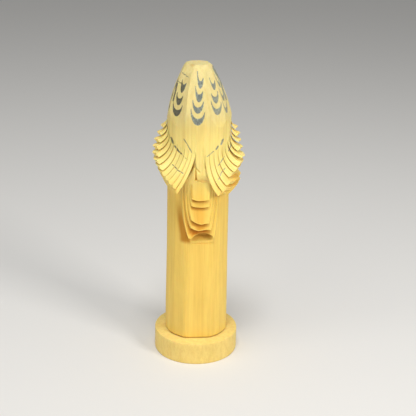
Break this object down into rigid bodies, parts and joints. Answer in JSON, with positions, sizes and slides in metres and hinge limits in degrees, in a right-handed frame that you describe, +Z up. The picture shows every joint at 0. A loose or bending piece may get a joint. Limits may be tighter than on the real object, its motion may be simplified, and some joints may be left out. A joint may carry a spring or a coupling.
{
  "type": "carved wooden ancestor figure",
  "caption": "Upright log figure knife-carved with a blunt cap, fanned shavings for hair and brows and a layered shaved beard, screwed to a round wooden base.",
  "frame": {"origin": "centre of the base's underside", "axes": "+Z up along the log, -Y the way the face looks, +X the side to the right of someone facing the figure"},
  "size_m": [0.0558, 0.053, 0.186],
  "materials": {
    "figure_wood": "bare pale softwood, knife-cut, with blue-grey ink marks",
    "base_wood": "bare pale softwood, sawn and lightly sanded",
    "screw_steel": "zinc-plated steel"
  },
  "bodies": {
    "root": {"carved_figure": "figure_wood", "base_disc": "base_wood", "base_screw_left": "screw_steel", "base_screw_right": "screw_steel"}
  },
  "joints": []
}
